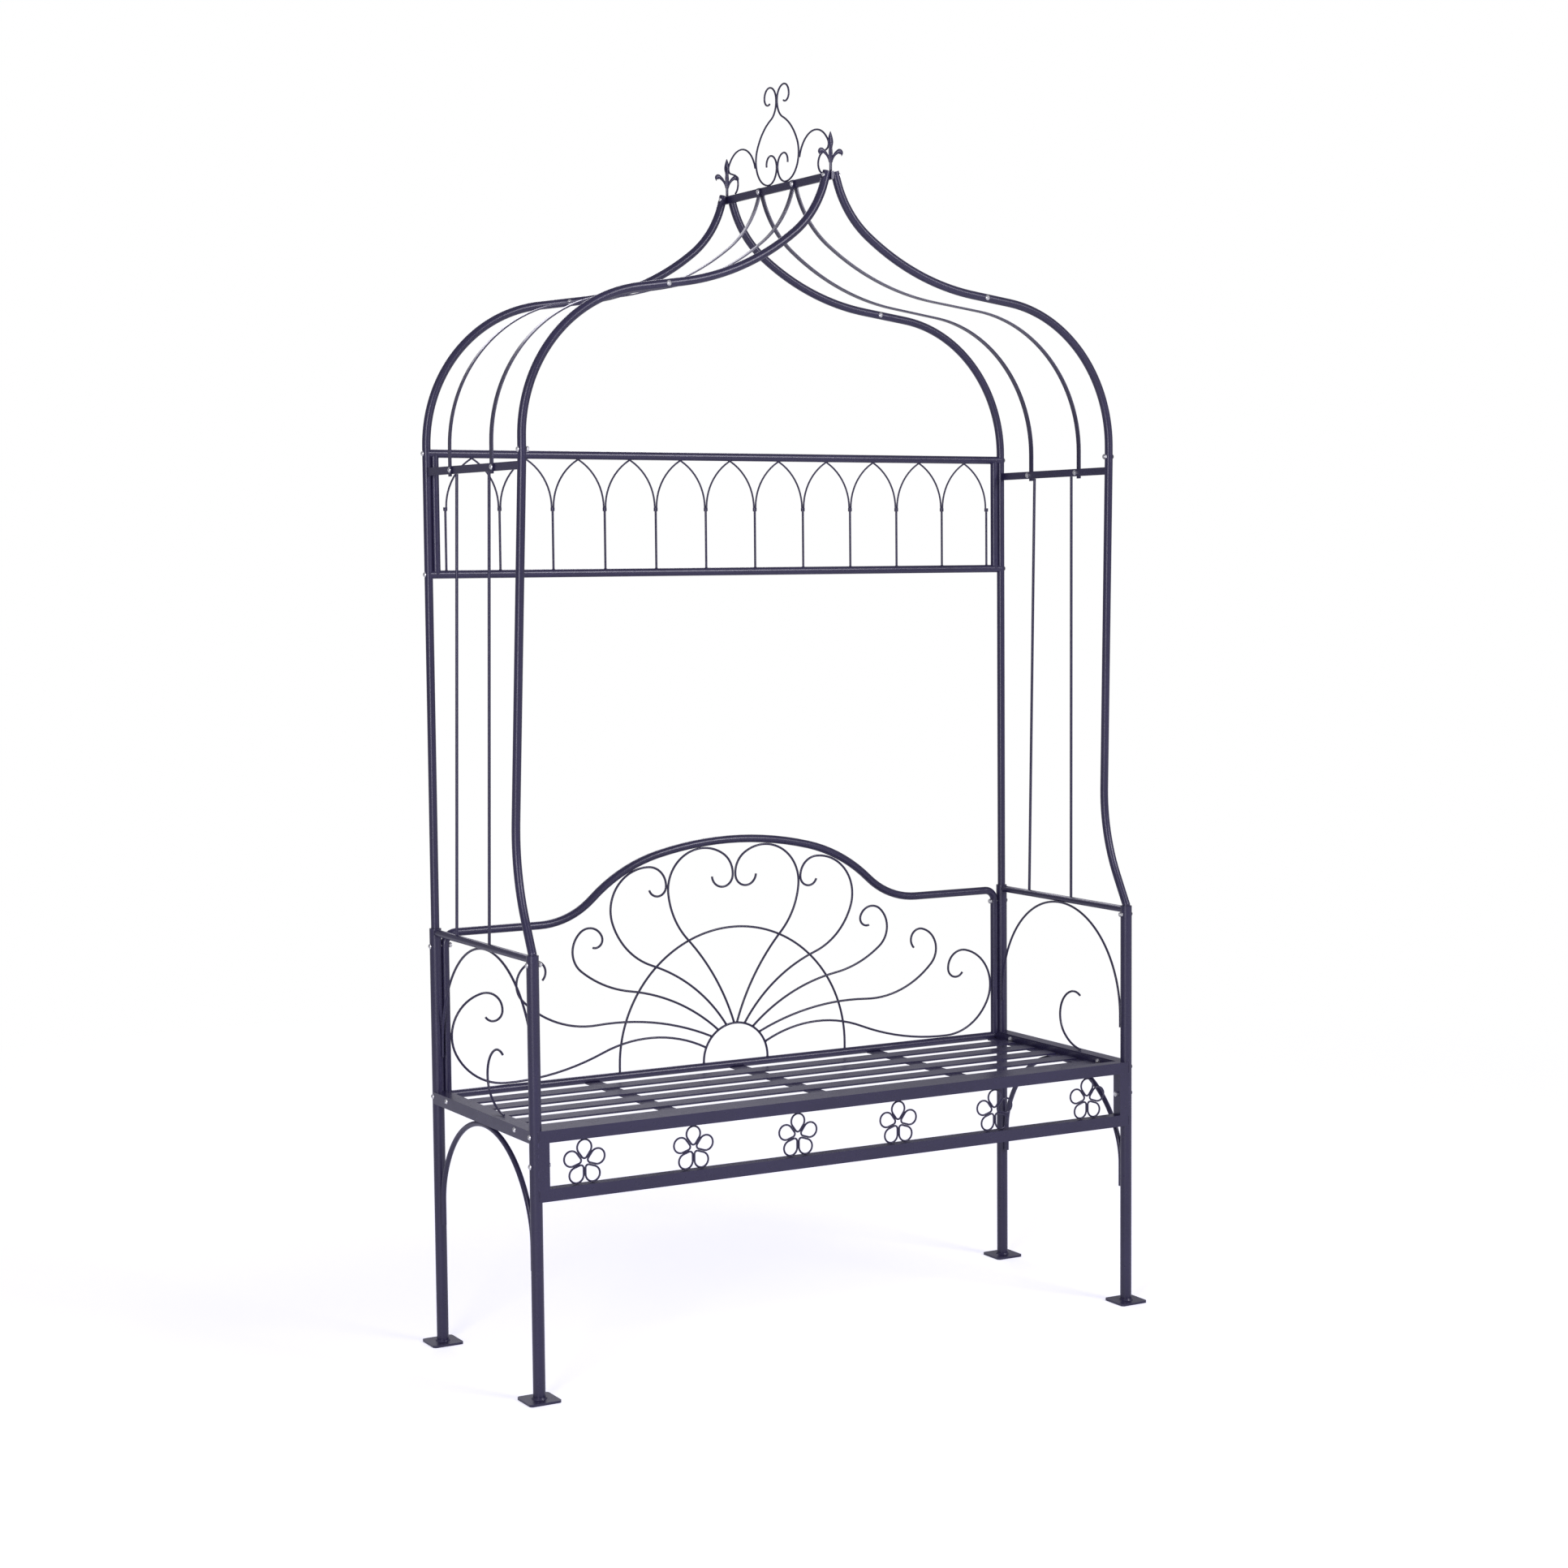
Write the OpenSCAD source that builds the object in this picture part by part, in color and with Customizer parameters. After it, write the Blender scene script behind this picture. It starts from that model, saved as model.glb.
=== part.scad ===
/* [Overall] */
// Distance between the centres of the left and right legs
span_w = 1150; // [1100:5:1240]
// Distance between the centres of the front and rear legs
span_d = 392; // [372:2:430]
// Height of the top of the seat rails above the ground
seat_h = 434; // [420:1:460]
// Height of the legs, where the posts plug in
leg_h = 712; // [690:1:740]
// Height of the joint between a post and its roof tube
post_top = 1492; // [1450:1:1540]
// Height of the top edge of the ridge bar
ridge_h = 1962; // [1930:1:2000]

/* [Tubes] */
// Outer diameter of the legs
leg_d = 20; // [18:0.5:24]
// Wall of the legs
leg_wall = 1.5; // [1:0.1:2]
// Length of the narrowed neck at the top of a leg
neck_h = 45; // [35:1:60]
// Outer diameter of the posts, roof tubes and frames
tube_d = 14; // [12:0.5:16]
// Wall of the posts, roof tubes and frames
tube_wall = 1.2; // [0.8:0.1:1.6]
// Outer diameter of the armrests
arm_d = 12; // [10:0.5:14]
// Outer diameter of the leg arches
arch_d = 9; // [7:0.5:11]
// Outer diameter of the decorative rods
rod_d = 4; // [3:0.25:5]
// Outer diameter of the side rods
side_rod_d = 5; // [4:0.25:6]
// Wire of the crown scroll, the header arches and the apron flowers
wire_d = 3.2; // [2.4:0.2:4]
// Side of the square seat and apron rails
rail_w = 20; // [16:1:25]
// Wall of the seat and apron rails
rail_wall = 1.5; // [1:0.1:2]

/* [Feet] */
// Side of the square foot plates
plate_w = 55; // [45:1:70]
// Thickness of the foot plates
plate_t = 4; // [3:0.5:6]
// Corner radius of the foot plates
plate_r = 6; // [3:0.5:10]
// Width of the weld bead round the foot of a leg
bead_w = 3; // [2:0.5:5]

/* [Roof] */
// Bend radius of the shoulder of a roof tube
shoulder_r = 243; // [220:1:260]
// Angle through which the shoulder turns
shoulder_turn = 82; // [80:1:84]
// Bend radius of the gentle sweep up to the ridge
sweep_r = 438; // [400:1:460]
// Angle through which the sweep turns
sweep_turn = 30; // [28:1:32]
// Bend radius of the last curve under the ridge
crown_r = 169; // [150:1:180]
// Angle through which that curve turns
crown_turn = 36; // [34:1:38]
// Straight tip of a roof tube at the ridge
crown_tip = 16; // [12:1:22]
// Distance from the ridge's middle plane to the end of a roof tube's centre line
crown_gap = 7.5; // [7:0.25:8.5]
// Thickness of a roof tube's end between the bolt head and the ridge bar
end_t = 11; // [9:0.5:12]
// Distance by which each front post leans inwards at its top
lean_in = 12; // [8:1:16]
// Plane of the front roof tubes, forward of the middle
front_roof_y = 160; // [150:1:172]
// Angle at which a front post leaves its leg, leaning backwards
post_kick = 28; // [24:1:30]
// Height of the kink above the top of the leg
kink_up = 2; // [2:0.5:4]
// Bend radius of the upper bend of a front post
post_bend_r = 300; // [280:5:320]
// Angle of that bend
post_turn = 30.5; // [29.5:0.25:31]
// Length of the joining pin inside two tubes
pin_len = 50; // [40:2:56]
// Width of the flat roof ribs
rib_w = 10; // [8:0.5:14]
// Thickness of the flat roof ribs
rib_t = 2.5; // [2:0.25:4]
// Middle of the roof and crown, behind the middle of the seat
roof_y = 18; // [10:1:26]
// Distance of the lower rib ends from the roof's middle
rib_low = 78; // [70:1:86]
// Distance of the upper rib ends from the roof's middle
rib_high = 58; // [50:1:66]
// Height of the flat bars at the ridge and the eaves
bar_h = 13; // [10:1:16]
// Thickness of the flat bars at the ridge and the eaves
bar_t = 5; // [4:0.5:6]
// Height of the lower edge of the eaves bars
eaves_h = 1471; // [1465:1:1475]
// Reach of a rib's foot below the eaves bar
rib_reach = 4; // [2:0.5:6]
// Bend radius at the upper end of a rib
rib_end_r = 20; // [12:1:30]
// Distance of a splice screw from the splice, towards the ridge
splice_screw = 12; // [9:1:16]

/* [Header panel] */
// Height of the middle of the header's top rail
header_top = 1508; // [1490:1:1512]
// Height of the middle of the header's lower rail
header_low = 1307; // [1280:1:1330]
// Number of arches in the header
arches = 11; // [7:1:15]
// Height of an arch from its spring to its top
arch_rise = 85; // [70:1:100]
// Distance of the outermost arch spring from the stile
arch_edge = 11; // [8:0.5:20]
// Diameter of the collars where two arches meet
collar_d = 7; // [6:0.5:10]
// Height of those collars
collar_h = 6; // [5:0.5:12]

/* [Seat] */
// Width of the side rails
side_rail_w = 25; // [22:1:30]
// Depth of the slats' top face below the rails' top
slat_drop = 9; // [8:0.5:10]
// Width of a slat
slat_w = 35; // [24:1:38]
// Distance between the middles of two slats
slat_pitch = 65; // [60:1:67]
// Gap between a slat's end and the end angle's upright flange
slat_end = 8; // [6:0.5:12]
// Thickness of the slats, the cross bars and the end angles
slat_t = 3; // [2:0.5:3.5]
// Number of slats
slats = 5; // [4:1:5]
// Width of a cross bar
cross_w = 27; // [20:1:34]
// Number of cross bars
crosses = 3; // [2:1:4]
// Horizontal flange of the end angles
angle_w = 22; // [18:1:28]
// Upright flange of the end angles
angle_h = 13; // [11:0.5:14]
// Distance of the side rails' screws from the middle
side_screw_y = 138; // [120:1:150]

/* [Apron] */
// Clear height between the seat rail and the apron rail
apron_gap = 74; // [66:1:84]
// Width of the apron's stiles
apron_stile_w = 10; // [8:1:14]
// Number of flowers
flowers = 6; // [3:1:6]
// Distance between the middles of two flowers
flower_pitch = 196; // [150:1:200]
// Extra reach of the pointed top petal
petal_point = 1; // [0.5:0.25:2]
// Radius of a petal's rounded inner end
petal_inner_r = 6.7; // [6.2:0.1:7.2]

/* [Side panels] */
// Depth of the middle of the armrests below the tops of the legs
arm_drop = 7; // [2:1:22]
// Distance of the side scrolls inwards from the legs' middle
scroll_in = 5; // [4:0.25:6]
// Bend radius at the top of a leg arch
leg_arch_r = 186; // [170:1:200]
// Angle of that bend on each side
leg_arch_turn = 68; // [60:1:72]
// Straight end of a leg arch along the leg
leg_arch_end = 40; // [20:1:60]
// Straight end of a side scroll's arch along the leg
scroll_end = 20; // [10:1:40]

/* [Backrest] */
// Depth of the backrest frame's straight shoulders below the tops of the legs
shoulder_drop = 9; // [0:1:22]
// Bend radius of the frame's upper corners
corner_r = 20; // [16:1:28]
// Rise of the arched rail's middle above those shoulders
back_rise = 128; // [112:1:147]
// Bend radius of the middle of the arched rail
back_r = 634; // [600:1:660]
// Angle of that bend on each side
back_turn = 14; // [12:0.5:16]
// Bend radius of the ends of the arched rail
back_end_r = 290; // [270:1:310]
// Bend radius of the hollow curve down to the shoulders
back_foot_r = 150; // [130:1:170]
// Radius of the small half ring
small_sun_r = 65; // [60:1:70]
// Radius of the large half ring
large_sun_r = 230; // [222:1:238]
// Height of the small ring's middle above the rear seat rail's middle
small_sun_rise = 9; // [8:0.5:12]
// Height of the large ring's middle above the rear seat rail's middle
large_sun_rise = 17; // [12:1:22]

/* [Screws] */
// Thread diameter of the screws
screw_d = 5; // [4:0.5:6]
// Diameter of the screw heads
head_d = 9; // [8:0.5:11]
// Height of the screw heads
head_h = 3; // [2:0.25:4]
// Height of the nuts
nut_h = 4; // [3:0.25:5]
// Length of the threaded inserts
insert_len = 15; // [12:0.5:20]

/* [Hidden] */
$fn = 48;

steel = [0.22, 0.21, 0.29];
zinc = [0.82, 0.82, 0.80];

// Clearance round a plugged-in tube, pin or screw, on the diameter
fit_gap = 0.3;
// Gap between rods that touch without being one piece
touch_gap = 0.2;
// How much thicker a rod is where two bends meet
knuckle = 0.1;
// How far a cutter runs past the face that it opens
over = 1;
// Length pinched shut at the upper end of a roof tube
pinch = 14;

leg_x = span_w / 2;
arm_h = leg_h - arm_drop;
shoulder_h = leg_h - shoulder_drop;
leg_y = span_d / 2;
leg_r = leg_d / 2;
tube_r = tube_d / 2;
tube_bore = tube_d - 2 * tube_wall;
stile_x = leg_x - leg_r - tube_r;
header_stile_x = leg_x - tube_d;
low_rail_h = seat_h - tube_r - 1;
rail_h = seat_h - rail_w / 2;
apron_h = seat_h - rail_w - apron_gap - rail_w / 2;
apron_mid = seat_h - rail_w - apron_gap / 2;
front_top_x = leg_x - lean_in;
rod_r = rod_d / 2;
wire_r = wire_d / 2;
arch_r = arch_d / 2;
slat_h = seat_h - slat_drop;
side_rail_out = leg_x + leg_r;
side_rail_in = side_rail_out - side_rail_w;
bolt_h = ridge_h - bar_h / 2;
hole_d = screw_d + fit_gap;
nut_d = 1.8 * screw_d;

// Where one step of a bent rod ends: [across, up, heading]
function after(at, step) =
  step[0] == 0
  ? [at[0] + step[1] * cos(at[2]), at[1] + step[1] * sin(at[2]), at[2]]
  : let(side = sign(step[1]), new = at[2] + step[1])
    [at[0] + side * step[0] * (sin(new) - sin(at[2])),
     at[1] - side * step[0] * (cos(new) - cos(at[2])), new];

// Where every step of a bent rod starts, and where the last one ends
function places(at, steps, i = 0) =
  i == len(steps) ? [at] : concat([at], places(after(at, steps[i]), steps, i + 1));

// How far some steps lead from where they start
function reach(heading, steps) = places([0, 0, heading], steps)[len(steps)];

// The lengths of two straight stretches, at two headings, that together lead across and up
function two_lengths(across, up, first, second) =
  [(across * sin(second) - up * cos(second)) / sin(second - first),
   (up * cos(first) - across * sin(first)) / sin(second - first)];

// The angle on a bend that takes up a length
function angle_of(length, radius) = length / radius * 180 / PI;

// One stretch of a bent piece: [0, length] is straight, [radius, turn] is a bend to the left
// or, with a negative turn, to the right. The cross-section is the child.
module stretch(at, step, start, end) {
  translate([at[0], at[1], 0]) rotate([0, 0, at[2]])
    if (step[0] == 0)
      translate([start, 0, 0]) rotate([90, 0, 90]) linear_extrude(step[1] - start - end) children();
    else {
      side = sign(step[1]);
      from = angle_of(start, step[0]);
      turn = abs(step[1]) - from - angle_of(end, step[0]);
      translate([0, side * step[0], 0])
        rotate([0, 0, side > 0 ? from - 90 : 90 - from - turn])
          rotate_extrude(angle = turn) translate([step[0], 0]) children();
    }
}

// A ball whose axis points along the rod that it joins
module ball_at(at, d) {
  translate([at[0], at[1], 0]) rotate([0, 90, at[2]]) sphere(d = d);
}

// A round rod along its steps. The stretches stop short of each other, and a ball joins them.
module bent_rod(at, steps, d, before = 0, beyond = 0) {
  at_each = places(at, steps);
  last = len(steps) - 1;
  for (i = [0:last])
    stretch(at_each[i], steps[i], i == 0 ? -before : knuckle, i == last ? -beyond : knuckle)
      circle(d = d);
  for (i = [1:1:last]) ball_at(at_each[i], d + knuckle);
}

// A rod whose last step ends where its first one starts
module bent_loop(at, steps, d) {
  at_each = places(at, steps);
  for (i = [0:len(steps) - 1]) {
    stretch(at_each[i], steps[i], knuckle, knuckle) circle(d = d);
    ball_at(at_each[i], d + knuckle);
  }
}

// A tube along its steps, open at both ends
module bent_tube(at, steps, d, wall) {
  difference() {
    bent_rod(at, steps, d);
    bent_rod(at, steps, d - 2 * wall, over, over);
  }
}

// A flat bar along its steps, bent the easy way. The stretches are joined as a rod's are.
module bent_bar(at, steps, thick, wide) {
  at_each = places(at, steps);
  last = len(steps) - 1;
  for (i = [0:last])
    stretch(at_each[i], steps[i], i == 0 ? 0 : knuckle, i == last ? 0 : knuckle)
      square([thick, wide], center = true);
  for (i = [1:1:last])
    translate([at_each[i][0], at_each[i][1], 0])
      cylinder(d = thick + knuckle, h = wide + knuckle, center = true);
}

// Stands a flat drawing up so that it faces the front, at a depth
module facing_front(y) { translate([0, y, 0]) rotate([90, 0, 0]) children(); }

// Stands a flat drawing up so that it faces the side, at a distance from the middle
module facing_side(x) { translate([x, 0, 0]) rotate([90, 0, 90]) children(); }

// Draws the left piece, or its mirror image on the right
module on_side(right) {
  if (right) mirror([1, 0, 0]) children();
  else children();
}

// Draws the left piece and its mirror image
module both_sides() {
  children();
  mirror([1, 0, 0]) children();
}

// A straight round bar between two points that lie one above the other
module bar_between(low, high, d) {
  run = high - low;
  flat = norm([run[0], run[1]]);
  translate(low) rotate([0, atan2(flat, run[2]), atan2(run[1], run[0])])
    cylinder(d = d, h = norm(run));
}

// The outside of a leg, for the pieces that are shaped to fit it
module leg_outside(y) {
  translate([-leg_x, y, 0]) cylinder(d = leg_d, h = leg_h);
}

// A front post above its leg, drawn as [back, up] and leaning back before it straightens
post_start = [-leg_y, leg_h + kink_up, 90 - post_kick];
post_bend = [post_bend_r, post_turn];
post_bend_reach = reach(90 - post_kick, [post_bend]);
post_straights = two_lengths(
  leg_y - front_roof_y - post_bend_reach[0], post_top - leg_h - kink_up - post_bend_reach[1],
  90 - post_kick, 90 - post_kick + post_turn);
post_steps = [[0, post_straights[0]], post_bend, [0, post_straights[1]]];
post_lean = atan2(lean_in, post_top - leg_h - kink_up);

// A roof tube from its post to the ridge, drawn as [inwards, up]
flat_heading = 90 - shoulder_turn;
shoulder = [shoulder_r, -shoulder_turn];
sweep = [sweep_r, sweep_turn];
crown = [crown_r, crown_turn];
roof_bends = reach(90, [shoulder, sweep, crown, [0, crown_tip]]);
function roof_straights(x) =
  two_lengths(x - crown_gap - roof_bends[0], ridge_h - post_top - roof_bends[1], 90, flat_heading);
function shoulder_steps(x) =
  [[0, roof_straights(x)[0]], shoulder, [0, roof_straights(x)[1] / 2]];
function splice_at(x) =
  let(steps = shoulder_steps(x)) places([-x, post_top, 90], steps)[len(steps)];
function crown_steps(x, tip) = [[0, roof_straights(x)[1] / 2], sweep, crown, [0, tip]];

// A rib from the eaves bar to the ridge bar, drawn as [inwards, up]
rib_turn = shoulder_turn - sweep_turn - crown_turn;
rib_lift = (bar_t + rib_t) / 2 + touch_gap;
rib_bends = reach(90, [shoulder, sweep, crown, [rib_end_r, rib_turn], [0, bar_h]]);
function rib_straights(run) =
  two_lengths(run - rib_bends[0], ridge_h - eaves_h + rib_reach - rib_bends[1], 90, flat_heading);
function rib_steps(run) =
  [[0, rib_straights(run)[0]], shoulder, [0, rib_straights(run)[1]], sweep, crown,
   [rib_end_r, rib_turn], [0, bar_h]];

// The eaves bar runs from the rear post to the front post
function eaves_x(y) = leg_x - lean_in * (leg_y - y) / (leg_y + front_roof_y);
eaves_angle = atan2(lean_in, leg_y + front_roof_y);

// Screws of the left side: where the middle of the clamped pieces is, the screw's direction, the
// thickness that it clamps, and whether it ends in a nut or in an insert
leg_screws = [
  [[-leg_x, -leg_y, leg_h - neck_h / 3], "x", leg_d, "nut"],
  [[-leg_x + tube_r, leg_y, leg_h - neck_h * 2 / 3], "x", leg_d + tube_d, "nut"]
];
roof_joint_screws = [
  [[-front_top_x, -front_roof_y, post_top + pin_len / 5], "x", tube_d, "nut"]
];
header_screws = [
  [[-leg_x, leg_y, header_top], "x", tube_d, "insert"],
  [[-leg_x, leg_y, header_low], "x", tube_d, "insert"]
];
seat_frame_screws = [
  [[-leg_x, -leg_y, rail_h], "x", leg_d, "insert"],
  [[-leg_x, leg_y, low_rail_h], "x", leg_d, "insert"],
  [[-leg_x + apron_stile_w / 2, -leg_y, apron_mid], "x", leg_d + apron_stile_w, "nut"]
];
side_screw_h = slat_h - slat_t + nut_d / 2 + touch_gap;
side_rail_screws = [
  for (side = [-1, 1])
    [[-side_rail_in - (side_rail_w - slat_t) / 2, side * side_screw_y, side_screw_h],
     "x", side_rail_w + slat_t, "nut"]
];
function splice_screw_at(x, y) =
  let(at = after(splice_at(x), [0, splice_screw])) [at[0], y, at[1]];
splice_screws = [
  [splice_screw_at(front_top_x, -front_roof_y), "y", tube_d, "nut"],
  [splice_screw_at(leg_x, leg_y), "y", tube_d, "nut"]
];
rib_foot_screws = [
  for (side = [-1, 1])
    let(y = roof_y + side * rib_low)
    [[-eaves_x(y) - rib_t / 2, y, eaves_h + bar_h / 2], "x", bar_t + rib_t + touch_gap, "nut"]
];
side_screws = concat(leg_screws, roof_joint_screws, header_screws, seat_frame_screws,
                     side_rail_screws, splice_screws, rib_foot_screws);

// Bolts through the ridge bar, which hold the pieces of both sides
ridge_bolts = [
  [[0, -front_roof_y, bolt_h], "x", bar_t + 2 * end_t, "nut"],
  [[0, leg_y, bolt_h], "x", bar_t + 2 * end_t, "nut"],
  [[0, roof_y - rib_high, bolt_h], "x", bar_t + 2 * rib_t + 2 * touch_gap, "nut"],
  [[0, roof_y + rib_high, bolt_h], "x", bar_t + 2 * rib_t + 2 * touch_gap, "nut"]
];

// Turns a piece drawn upwards so that it points to the right, or to the back
module along(direction) {
  rotate(direction == "x" ? [0, 90, 0] : [-90, 0, 0]) children();
}

// The holes that some screws pass through
module screw_holes(list) {
  for (s = list)
    translate(s[0]) along(s[1])
      cylinder(d = hole_d, h = s[2] + 6 * nut_h, center = true);
}

module leg(y) {
  color(steel) difference() {
    translate([-leg_x, y, plate_t]) cylinder(d = leg_d, h = leg_h - plate_t);
    translate([-leg_x, y, plate_t - over])
      cylinder(d = leg_d - 2 * leg_wall, h = leg_h - neck_h - plate_t + over);
    translate([-leg_x, y, leg_h - neck_h - over])
      cylinder(d = tube_d + fit_gap, h = neck_h + 2 * over);
    screw_holes(concat(leg_screws, seat_frame_screws));
  }
}
module leg_front_left() { leg(-leg_y); }
module leg_front_right() { on_side(true) leg(-leg_y); }
module leg_rear_left() { leg(leg_y); }
module leg_rear_right() { on_side(true) leg(leg_y); }

module foot_plate() {
  inner = plate_w - 2 * plate_r;
  linear_extrude(plate_t) union() {
    square([plate_w, inner], center = true);
    square([inner, plate_w], center = true);
    for (x = [-1, 1], y = [-1, 1])
      translate([x * inner / 2, y * inner / 2]) circle(r = plate_r);
  }
  rotate_extrude() polygon([
    [leg_r, plate_t], [leg_r, plate_t - over], [leg_r + bead_w, plate_t - over],
    [leg_r + bead_w, plate_t], [leg_r + bead_w / 3, plate_t + bead_w], [leg_r, plate_t + bead_w]
  ]);
}
module foot_plates() {
  color(steel)
    for (x = [-leg_x, leg_x], y = [-leg_y, leg_y])
      translate([x, y, 0]) foot_plate();
}

// A front post at a diameter, from inside its leg to above its upper end
module post_shape(d, before, beyond) {
  translate([-leg_x, -leg_y, leg_h - neck_h - before])
    cylinder(d = d, h = neck_h + kink_up + before);
  translate([-leg_x, 0, leg_h + kink_up]) rotate([0, post_lean, 0])
    translate([0, 0, -leg_h - kink_up]) facing_side(0) {
      bent_rod(post_start, post_steps, d, 0, beyond);
      ball_at(post_start, d + knuckle);
    }
}
module post_front() {
  color(steel) difference() {
    post_shape(tube_d, 0, over);
    post_shape(tube_bore, over, 2 * over);
    translate([-leg_x - leg_d, -front_roof_y - leg_d, post_top]) cube([3 * leg_d, 2 * leg_d, leg_d]);
    screw_holes(leg_screws);
  }
}
module post_rear() {
  color(steel) difference() {
    translate([-leg_x, leg_y, leg_h - neck_h]) cylinder(d = tube_d, h = post_top - leg_h + neck_h);
    translate([-leg_x, leg_y, leg_h - neck_h - over])
      cylinder(d = tube_bore, h = post_top - leg_h + neck_h + 2 * over);
    screw_holes(concat(leg_screws, header_screws));
  }
}
module post_front_left() { post_front(); }
module post_front_right() { on_side(true) post_front(); }
module post_rear_left() { post_rear(); }
module post_rear_right() { on_side(true) post_rear(); }

module shoulder_tube(x, y) {
  color(steel) difference() {
    facing_front(y) bent_tube([-x, post_top, 90], shoulder_steps(x), tube_d, tube_wall);
    screw_holes(concat(roof_joint_screws, header_screws));
  }
}
module shoulder_tube_front_left() { shoulder_tube(front_top_x, -front_roof_y); }
module shoulder_tube_front_right() { on_side(true) shoulder_tube(front_top_x, -front_roof_y); }
module shoulder_tube_rear_left() { shoulder_tube(leg_x, leg_y); }
module shoulder_tube_rear_right() { on_side(true) shoulder_tube(leg_x, leg_y); }

// The upper end of a crown tube is pinched shut, cut off along the ridge bar and has a seat for
// the bolt head
module crown_tube(x, y) {
  color(steel) difference() {
    facing_front(y) difference() {
      bent_rod(splice_at(x), crown_steps(x, crown_tip), tube_d);
      bent_rod(splice_at(x), crown_steps(x, crown_tip - pinch), tube_bore, over);
    }
    translate([-bar_t / 2, y - tube_d, ridge_h - 2 * tube_d]) cube([tube_d, 2 * tube_d, 4 * tube_d]);
    translate([-bar_t / 2 - end_t, y, bolt_h]) along("x")
      translate([0, 0, -tube_d]) cylinder(d = head_d + over, h = tube_d);
    screw_holes(concat(splice_screws, ridge_bolts));
  }
}
module crown_tube_front_left() { crown_tube(front_top_x, -front_roof_y); }
module crown_tube_front_right() { on_side(true) crown_tube(front_top_x, -front_roof_y); }
module crown_tube_rear_left() { crown_tube(leg_x, leg_y); }
module crown_tube_rear_right() { on_side(true) crown_tube(leg_x, leg_y); }

// Pins inside the joints of posts, shoulder tubes and crown tubes
module splice_pin(x, y) {
  facing_front(y) stretch(splice_at(x), [0, pin_len / 2], -pin_len / 2, 0)
    circle(d = tube_bore - fit_gap);
}
module front_pin() {
  pin_d = tube_bore - fit_gap;
  translate([-front_top_x, -front_roof_y, post_top]) {
    translate([0, 0, knuckle]) cylinder(d = pin_d, h = pin_len / 2 - knuckle);
    sphere(d = pin_d + knuckle);
  }
  top = places(post_start, post_steps)[len(post_steps)];
  translate([-leg_x, 0, leg_h + kink_up]) rotate([0, post_lean, 0])
    translate([0, 0, -leg_h - kink_up]) facing_side(0)
      stretch(top, [0, 0], -pin_len / 2, knuckle) circle(d = pin_d);
}
module rear_pin() {
  translate([-leg_x, leg_y, post_top])
    cylinder(d = tube_bore - fit_gap, h = pin_len, center = true);
}
module joint_pins() {
  color(zinc) both_sides() difference() {
    union() {
      front_pin();
      rear_pin();
      splice_pin(front_top_x, -front_roof_y);
      splice_pin(leg_x, leg_y);
    }
    screw_holes(concat(roof_joint_screws, header_screws, splice_screws));
  }
}

// A rib stands in a plane that turns a little from its foot to the ridge
module rib(side) {
  low_y = roof_y + side * rib_low;
  high_y = roof_y + side * rib_high;
  low_x = -eaves_x(low_y) - rib_lift / cos(eaves_angle);
  run = norm([low_x + rib_lift, high_y - low_y]);
  color(steel) difference() {
    translate([low_x, low_y, 0]) rotate([0, 0, atan2(high_y - low_y, -rib_lift - low_x)])
      facing_front(0) bent_bar([0, eaves_h - rib_reach, 90], rib_steps(run), rib_t, rib_w);
    screw_holes(concat(rib_foot_screws, ridge_bolts));
  }
}
module rib_front_left() { rib(-1); }
module rib_front_right() { on_side(true) rib(-1); }
module rib_rear_left() { rib(1); }
module rib_rear_right() { on_side(true) rib(1); }

module ridge_bar() {
  length = leg_y + front_roof_y + tube_d;
  color(steel) difference() {
    translate([-bar_t / 2, -front_roof_y - tube_r, ridge_h - bar_h]) cube([bar_t, length, bar_h]);
    screw_holes(ridge_bolts);
  }
}

// The ends of an eaves bar are shaped to fit the posts
module eaves_bar() {
  length = norm([leg_y + front_roof_y, lean_in]);
  color(steel) difference() {
    translate([-leg_x, leg_y, eaves_h]) rotate([0, 0, eaves_angle])
      translate([-bar_t / 2, -length, 0]) cube([bar_t, length, bar_h]);
    translate([-leg_x, leg_y, eaves_h - over]) cylinder(d = tube_d, h = bar_h + 2 * over);
    post_shape(tube_d, 0, over);
    screw_holes(rib_foot_screws);
  }
}
module eaves_bar_left() { eaves_bar(); }
module eaves_bar_right() { on_side(true) eaves_bar(); }

// Side rods run from the armrest up to the eaves bar
side_rods = [[104, 79], [-29, -42]];
module side_rod_pair() {
  color(steel) difference() {
    for (rod = side_rods)
      bar_between([-leg_x, rod[0], arm_h], [-eaves_x(rod[1]), rod[1], eaves_h - touch_gap],
                  side_rod_d);
    facing_front(0) translate([-leg_x, arm_h, 0]) cylinder(d = arm_d, h = 2 * leg_y, center = true);
  }
}
module side_rods_left() { side_rod_pair(); }
module side_rods_right() { on_side(true) side_rod_pair(); }

// A finial on each end of the ridge bar: a stem, a spear and two curled leaves
finial_stem_d = 4.5;
finial_stem_h = 38;
spear_h = 27;
spear_w = 9;
leaf_start = [2, 14, 85];
leaf_steps = [[24, -55], [5, -150]];
module finials() {
  color(steel)
    for (y = [-front_roof_y, leg_y])
      translate([0, y, ridge_h]) {
        cylinder(d = finial_stem_d, h = finial_stem_h + over);
        translate([0, 0, finial_stem_h]) cylinder(d1 = finial_stem_d, d2 = spear_w, h = spear_h / 3);
        translate([0, 0, finial_stem_h + spear_h / 3])
          cylinder(d1 = spear_w, d2 = 1, h = spear_h * 2 / 3);
        both_sides() facing_front(0) bent_rod(leaf_start, leaf_steps, wire_d);
      }
}

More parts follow.
